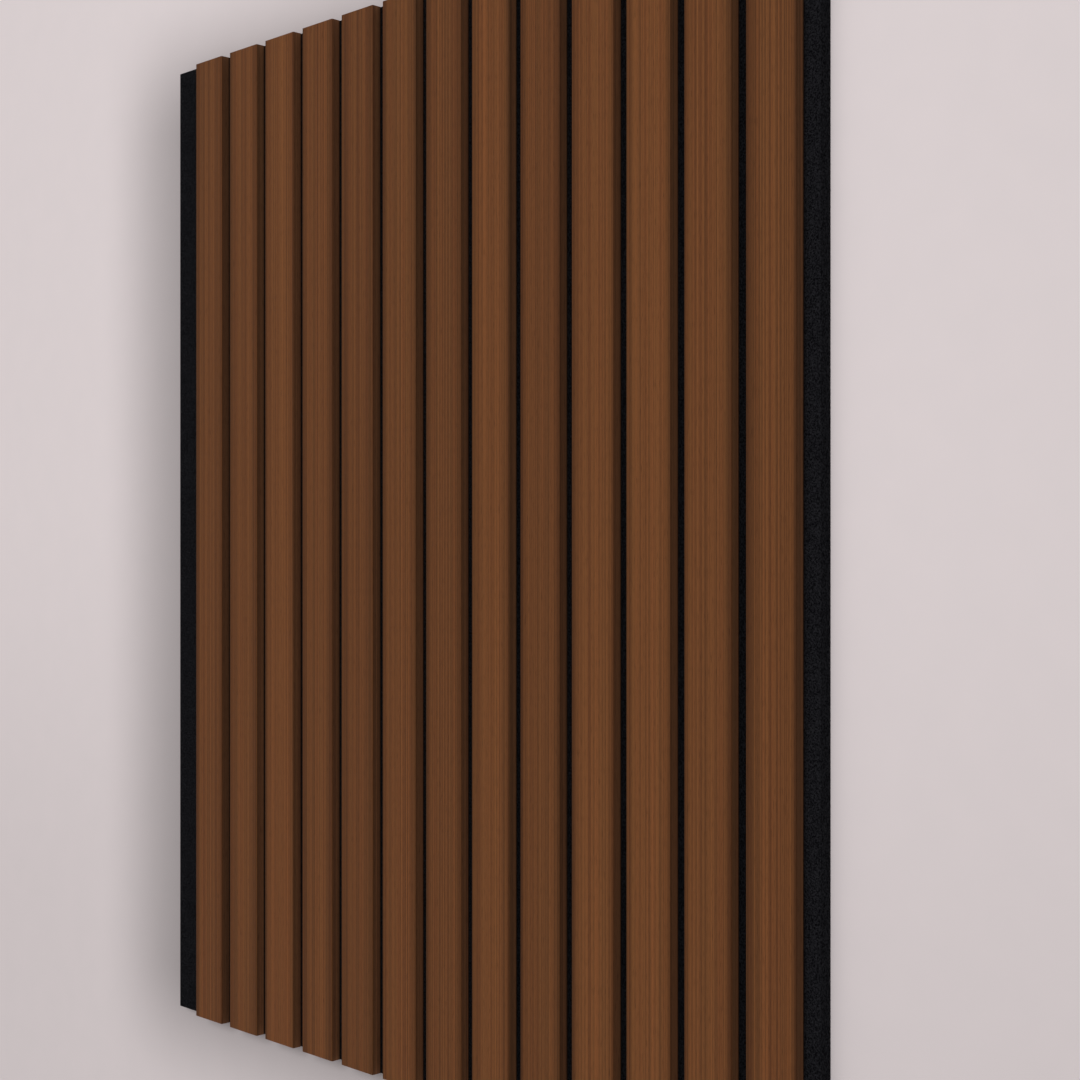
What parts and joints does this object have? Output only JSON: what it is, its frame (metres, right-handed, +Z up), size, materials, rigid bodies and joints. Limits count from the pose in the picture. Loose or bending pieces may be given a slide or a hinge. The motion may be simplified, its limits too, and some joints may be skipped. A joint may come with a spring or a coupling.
{
  "type": "slat wall panel",
  "caption": "Wall panel of upright walnut-veneered slats with eased edges, stapled side by side to a black felt backing board that is fixed flat to a wall.",
  "frame": {"origin": "centre of the felt's back face, which lies against the wall", "axes": "+Z up along the slats, +X to the right seen from the room, +Y into the wall, so the slats face -Y"},
  "size_m": [0.605, 0.016, 0.72],
  "materials": {
    "felt": "pressed black felt",
    "walnut_veneer": "satin lacquer",
    "galvanised_steel": "galvanised wire"
  },
  "bodies": {
    "root": {"felt_backing": "felt", "slat_01": "walnut_veneer", "slat_02": "walnut_veneer", "slat_03": "walnut_veneer", "slat_04": "walnut_veneer", "slat_05": "walnut_veneer", "slat_06": "walnut_veneer", "slat_07": "walnut_veneer", "slat_08": "walnut_veneer", "slat_09": "walnut_veneer", "slat_10": "walnut_veneer", "slat_11": "walnut_veneer", "slat_12": "walnut_veneer", "slat_13": "walnut_veneer", "staples": "galvanised_steel"}
  },
  "joints": []
}
